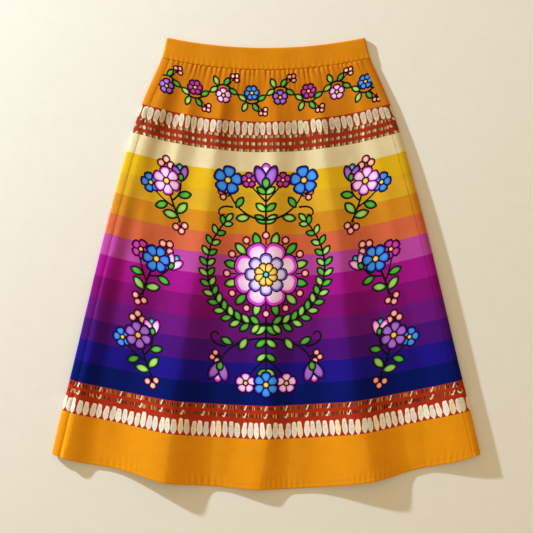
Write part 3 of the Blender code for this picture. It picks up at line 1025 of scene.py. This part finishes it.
def cloth_mesh(name, chart, place, extra, lining, outward, material):
    """A closed thin shell from a chart: its triangles laid out by place, coloured by the
    uppermost outline over each, with a coarser layer on its inside."""
    flat, triangles, over, _ = triangulated(chart.points + extra, chart.outlines)
    colours = painted(chart, flat, triangles, over)
    loop = rim_loop(triangles)
    inner, inner_triangles, rim_in = lining_of(flat, loop, lining)
    outside, normals = in_space(place, flat, outward)
    inside, inner_normals = in_space(place, inner, outward)
    inside = inside - inner_normals * SHELL

    # The inside shows the print faintly, as the back of printed cotton does
    pale = INSIDE_PLAIN * linear(INSIDE_CLOTH) + INSIDE_PRINT * colours.mean(axis=(0, 1))
    count = len(flat)
    at_vertex = np.zeros((count, 3))
    at_vertex[triangles.reshape(-1)] = colours.reshape(-1, 3)
    rim = list(zip(loop, loop[1:] + loop[:1]))
    if outward < 0:
        triangles, colours = triangles[:, ::-1], colours[:, ::-1]
        inner_triangles = inner_triangles[:, ::-1]
        rim = [(v, u) for u, v in rim]
    faces = [tuple(t) for t in triangles.tolist()]
    faces += [tuple(count + v for v in t[::-1]) for t in inner_triangles.tolist()]
    faces += [(v, u, count + rim_in[u], count + rim_in[v]) for u, v in rim]
    cloth = new_object(name, np.concatenate([outside, inside]).tolist(), faces, material)
    tint(cloth.data, np.concatenate([
        colours.reshape(-1, 3), np.broadcast_to(pale, (3 * len(inner_triangles), 3)),
        at_vertex[np.array([(v, u, u, v) for u, v in rim]).reshape(-1)]]))
    unwrap(cloth.data, flat, inner)
    cloth.data.normals_split_custom_set_from_vertices(
        np.concatenate([normals, -inner_normals]).tolist())
    return cloth


# Materials

class Shading:
    """A material that nodes are added to. An input of a node is given as a value, or as
    an output of another node."""

    def __init__(self, name):
        self.material = bpy.data.materials.new(name)
        self.material.use_nodes = True
        self.tree = self.material.node_tree

    def feed(self, node, inputs):
        """Sets or links the inputs of a node."""
        for key, value in inputs.items():
            if isinstance(value, bpy.types.NodeSocket):
                self.tree.links.new(value, node.inputs[key])
            else:
                node.inputs[key].default_value = value

    def add(self, kind, output, inputs, **settings):
        """Adds a node and returns one of its outputs."""
        node = self.tree.nodes.new("ShaderNode" + kind)
        for key, value in settings.items():
            setattr(node, key, value)
        self.feed(node, inputs)
        return node.outputs[output]

    def math(self, operation, *values):
        """The result of one operation."""
        return self.add("Math", 0, dict(enumerate(values)), operation=operation)

    def noise(self, where, scale, detail, roughness=0.5):
        """Cloudy variation about 0.5."""
        return self.add("TexNoise", "Fac", {"Vector": where, "Scale": scale,
                                            "Detail": detail, "Roughness": roughness})

    def surface(self, inputs):
        """Sets or links the inputs of the surface, and returns the material."""
        self.feed(self.tree.nodes["Principled BSDF"], inputs)
        return self.material


def cloth_material(name, colour=None, thread=0.00055, uneven=0.10):
    """Woven cotton: its print or one colour, slightly uneven, with a fine weave."""
    cloth = Shading(name)
    where = cloth.add("TexCoord", "Object", {})
    cloudy, slub = cloth.noise(where, 38.0, 5.0, 0.62), cloth.noise(where, 900.0, 2.0, 0.6)
    spread = cloth.add("MapRange", "Result", {
        "Value": cloth.math("ADD", cloudy, slub), "From Min": 0.6, "From Max": 1.4,
        "To Min": 1 - uneven, "To Max": 1 + uneven})
    if colour is None:
        plain = cloth.add("Attribute", "Color", {}, attribute_name="print")
    else:
        plain = linear(colour)
    base = cloth.add("VectorMath", "Vector", {0: plain, "Scale": spread}, operation="SCALE")

    waves = []
    for axis in "XY":
        across = cloth.add("SeparateXYZ", axis, {0: where})
        waves.append(cloth.math("SINE", cloth.math("MULTIPLY", across, 2 * math.pi / thread)))
    relief = cloth.math("MULTIPLY_ADD", cloth.math("MULTIPLY", *waves), 0.35, slub)
    bump = cloth.add("Bump", "Normal", {"Height": relief, "Strength": 0.22,
                                        "Distance": 0.0002})
    return cloth.surface({"Base Color": base, "Normal": bump, "Roughness": 0.78,
                          "Specular IOR Level": 0.05})


def thread_material():
    """Orange thread, lighter and darker along its twist."""
    thread = Shading("orange_thread")
    twist = thread.noise(thread.add("TexCoord", "Object", {}), 1800.0, 2.0)
    dark, light = ((*linear(colour), 1) for colour in ((216, 132, 12), (252, 176, 40)))
    base = thread.add("Mix", "Result", {"A": dark, "B": light, "Factor": twist},
                      data_type="RGBA")
    return thread.surface({"Base Color": base, "Roughness": 0.6})


# Pieces

def front_reach(s):
    """Half the width of the front panel's chart."""
    return float(front_edge(s * MM)) / MM


def back_reach(s):
    """Half the width of the back panel's chart, with what goes round a side."""
    return float(level("half_width", s * MM) - SIDE_ROLL) / MM + ROLL_CLOTH


def drops(*runs):
    """Rows of points: each run is its end, the step down and the spacing across."""
    rows, drop = [], TOP
    for end, step, spacing in runs:
        while drop < end:
            rows.append((drop, spacing))
            drop += step
    return rows


def front_cloth(material):
    """The front panel with its print, finest at the gathers and at the hem."""
    chart = panel_chart(front_reach)
    borders(chart, front_reach, 5)
    flower_print(chart)
    rows = drops((TOP + 3, 0.8, 1.3), (TOP + 12, 2.2, 1.3), (TOP + 40, 4.5, 1.5),
                 (TOP + 100, 5.5, 3.0), (HEM - 22, 7.5, 5.5), (HEM - 3, 2.0, 2.6),
                 (HEM - 0.5, 0.7, 2.6))
    lining = drops((TOP + 12, 3.0, 1.7), (TOP + 40, 5.0, 2.0), (TOP + 100, 7.0, 3.5),
                   (HEM - 18, 12.0, 8.0), (HEM - 2, 5.0, 8.0))
    seam = TOP + 14, HEM - 3
    extra = (grid_points(front_reach, rows, seam)
             + side_columns(front_reach, *seam, 4.0, (0.4, 0.9, 1.5, 2.3, 3.6, 5.6)))
    front = cloth_mesh("front_cloth", chart, front_place, extra,
                       grid_points(front_reach, lining[1:]), 1, material)
    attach(front, "root")
    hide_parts("front_panel")
    return front


def back_cloth(material):
    """The back panel with the borders only, finest where it rolls up over the sides."""
    chart = panel_chart(back_reach)
    borders(chart, back_reach, 9)
    columns = [0.5, 1.0, 1.7, 2.6] + [4.0 + 2.0 * k for k in range(14)]
    extra = (grid_points(back_reach, [(drop, 12.0) for drop in np.arange(TOP + 4, HEM - 14, 16.0)])
             + side_columns(back_reach, TOP + 2, HEM - 14, 5.0, columns)
             + side_columns(back_reach, HEM - 13, HEM, 1.6, columns))
    back = cloth_mesh("back_cloth", chart, back_place, extra, extra, -1, material)
    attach(back, "root")
    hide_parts("back_panel")
    return back


def band_loop(drop, inset, count):
    """Points round the flat waistband at one level, moved in by inset. The second half is
    the first one turned half round."""
    radius = BAND_HEIGHT / 2
    centre = float(level("half_width", drop)) - radius
    arc = math.pi * radius
    half = 2 * centre + arc
    points = []
    for k in range(count // 2):
        d = 2 * half * k / count
        if d < arc:
            a = -math.pi / 2 + math.pi * d / arc
            points.append((centre + (radius - inset) * math.cos(a),
                           radius + (radius - inset) * math.sin(a)))
        else:
            points.append((centre - (d - arc), 2 * radius - inset))
    return points + [(-x, 2 * radius - z) for x, z in points]


def band_rows():
    """The waistband's section, as levels and how far each is moved in: up the outside from
    the seam, over the folded top edge and down the inside."""
    depth, roll, half = WAISTBAND_DEPTH, BAND_ROLL, BAND_SHELL / 2
    rows = [(depth + 0.00015, 0.0004), (depth - 0.0008, 0.0001), (depth - roll, 0.0)]
    rows += [(depth - roll - (depth - 2 * roll) * k / 11, 0.0) for k in range(1, 12)]
    rows += [(roll - roll * math.sin(a), half - half * math.cos(a))
             for a in (math.pi / 6 * k for k in range(1, 6))]
    return rows + [(roll, BAND_SHELL), (0.012, BAND_SHELL), (depth - 0.002, BAND_SHELL),
                   (depth - 0.0003, BAND_SHELL - 0.0006)]


def tube_faces(rings, count):
    """Faces between rings of points that follow each other, with the last joined to the
    first."""
    return [(r * count + k, r * count + (k + 1) % count,
             (r + 1) % rings * count + (k + 1) % count, (r + 1) % rings * count + k)
            for r in range(rings) for k in range(count)]


def waistband_cloth(material):
    """The waistband: a flat loop, doubled over at its top edge, sewn at its lower one."""
    rng = random.Random(4)
    swells = [(rng.uniform(0, 2 * math.pi), rng.uniform(14, 40), rng.uniform(0.3, 1))
              for _ in range(9)]
    rows, points = band_rows(), []
    for drop, inset in rows:
        sewn = dented(BAND_PUCKER, WAISTBAND_DEPTH - drop)
        for x, z in band_loop(drop, inset, BAND_POINTS):
            swell = sum(a * math.sin(x * f * 3 + p) for p, f, a in swells)
            lift = (BAND_SWELL * swell * min(drop / 0.01, 1)
                    + sewn * puckered(x, 2.5, 0.023) - BAND_SUNK)
            points.append((x, float(on_plan(x, drop)), z + lift * (z > BAND_HEIGHT / 2)))
    band = new_object("waistband_cloth", points, tube_faces(len(rows), BAND_POINTS), material)
    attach(band, "root")
    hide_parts("waistband")
    return band


# A stitch: each ring's share along it, its thickness and its lift, as shares of the
# thread's
STITCH_RINGS = ((0.0, 0.25, 0.0), (0.2, 0.9, 0.9), (0.5, 1.0, 1.2), (0.8, 0.9, 0.9),
                (1.0, 0.25, 0.0))
STITCH_SIDES = 5
STITCH_PITCH = 3.1
STITCH_LENGTH = 2.4


def stitch(a, b):
    """Points of one stitch between two points, as a thin closed oval."""
    along = (b - a) / np.linalg.norm(b - a)
    side = np.cross(along, (0, 0, 1))
    up = np.cross(side, along)
    points = []
    for t, thickness, lift in STITCH_RINGS:
        centre = a + (b - a) * t + up * THREAD * lift
        for k in range(STITCH_SIDES):
            angle = 2 * math.pi * k / STITCH_SIDES
            points.append(centre + THREAD * thickness * (side * math.cos(angle)
                                                         + up * math.sin(angle) * 0.8))
    return points


def hem_stitching(material):
    """The topstitched row that holds up the hem."""
    s = (SKIRT_LENGTH - HEM_STITCHING) / MM
    count = int((front_reach(s) - 1.5) / STITCH_PITCH)
    n = STITCH_SIDES
    shell = tube_faces(len(STITCH_RINGS), n)[:-n]
    shell += [tuple(range(n))[::-1], tuple(range(n * (len(STITCH_RINGS) - 1),
                                                 n * len(STITCH_RINGS)))]
    points, faces = [], []
    for k in range(-count, count):
        x = k * STITCH_PITCH
        faces += [tuple(len(points) + v for v in face) for face in shell]
        points += stitch(front_place(x, s), front_place(x + STITCH_LENGTH, s))
    thread = new_object("hem_topstitch", [tuple(p) for p in points], faces, material)
    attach(thread, "root")
    return thread


# Surroundings

FLOOR_SIZE = 4.0
FLOOR_COLOUR = (241, 235, 220)
UNDER = 0.0004               # how far the floor is below the skirt
KEY_AWAY = 3.4               # the lamp's distance from the middle, on plan
KEY_ELEVATION = math.radians(13)
KEY_BEARING = math.atan2(0.80, -1.0)
EYE = (0.0009, -0.0052, 1.5)
VIEW_WIDTH = 0.943           # how much of the surface the picture shows
SENSOR = 36


def floor():
    """A plain pale cloth-covered surface."""
    corners = [(x * FLOOR_SIZE, y * FLOOR_SIZE, -UNDER)
               for x, y in ((-1, -1), (1, -1), (1, 1), (-1, 1))]
    linen = cloth_material("floor_linen", FLOOR_COLOUR, 0.0011, 0.030)
    plane = new_object("floor", corners, [(0, 1, 2, 3)], linen)


def lights():
    """A low key from the upper left and a soft warm fill from all round."""
    world = bpy.data.worlds.new("soft_fill")
    bpy.context.scene.world = world
    world.use_nodes = True
    background = world.node_tree.nodes["Background"]
    background.inputs["Color"].default_value = (1.0, 0.807, 0.547, 1)
    background.inputs["Strength"].default_value = 0.60
    lamp = bpy.data.lights.new("key", "POINT")
    lamp.energy = 1010
    lamp.shadow_soft_size = 0.06
    lamp.color = (0.657, 0.818, 1.0)
    key = bpy.data.objects.new("key", lamp)
    key.location = (KEY_AWAY * math.cos(KEY_BEARING), KEY_AWAY * math.sin(KEY_BEARING),
                    KEY_AWAY * math.tan(KEY_ELEVATION))
    bpy.context.scene.collection.objects.link(key)
    bpy.context.scene.view_settings.view_transform = "Standard"


def camera():
    """Straight above, as in the photograph."""
    data = bpy.data.cameras.new("camera")
    data.sensor_width = SENSOR
    data.lens = SENSOR * EYE[2] / VIEW_WIDTH
    eye = bpy.data.objects.new("camera", data)
    eye.location = EYE
    bpy.context.scene.collection.objects.link(eye)
    bpy.context.scene.camera = eye


def main():
    """Builds the pieces, each with its cloth, and sets the scene."""
    front = front_cloth(cloth_material("printed_cotton"))
    back = back_cloth(cloth_material("printed_cotton_back"))
    band = waistband_cloth(cloth_material("orange_cotton", SHADED_ORANGE))
    thread = hem_stitching(thread_material())
    floor()
    lights()
    camera()


main()
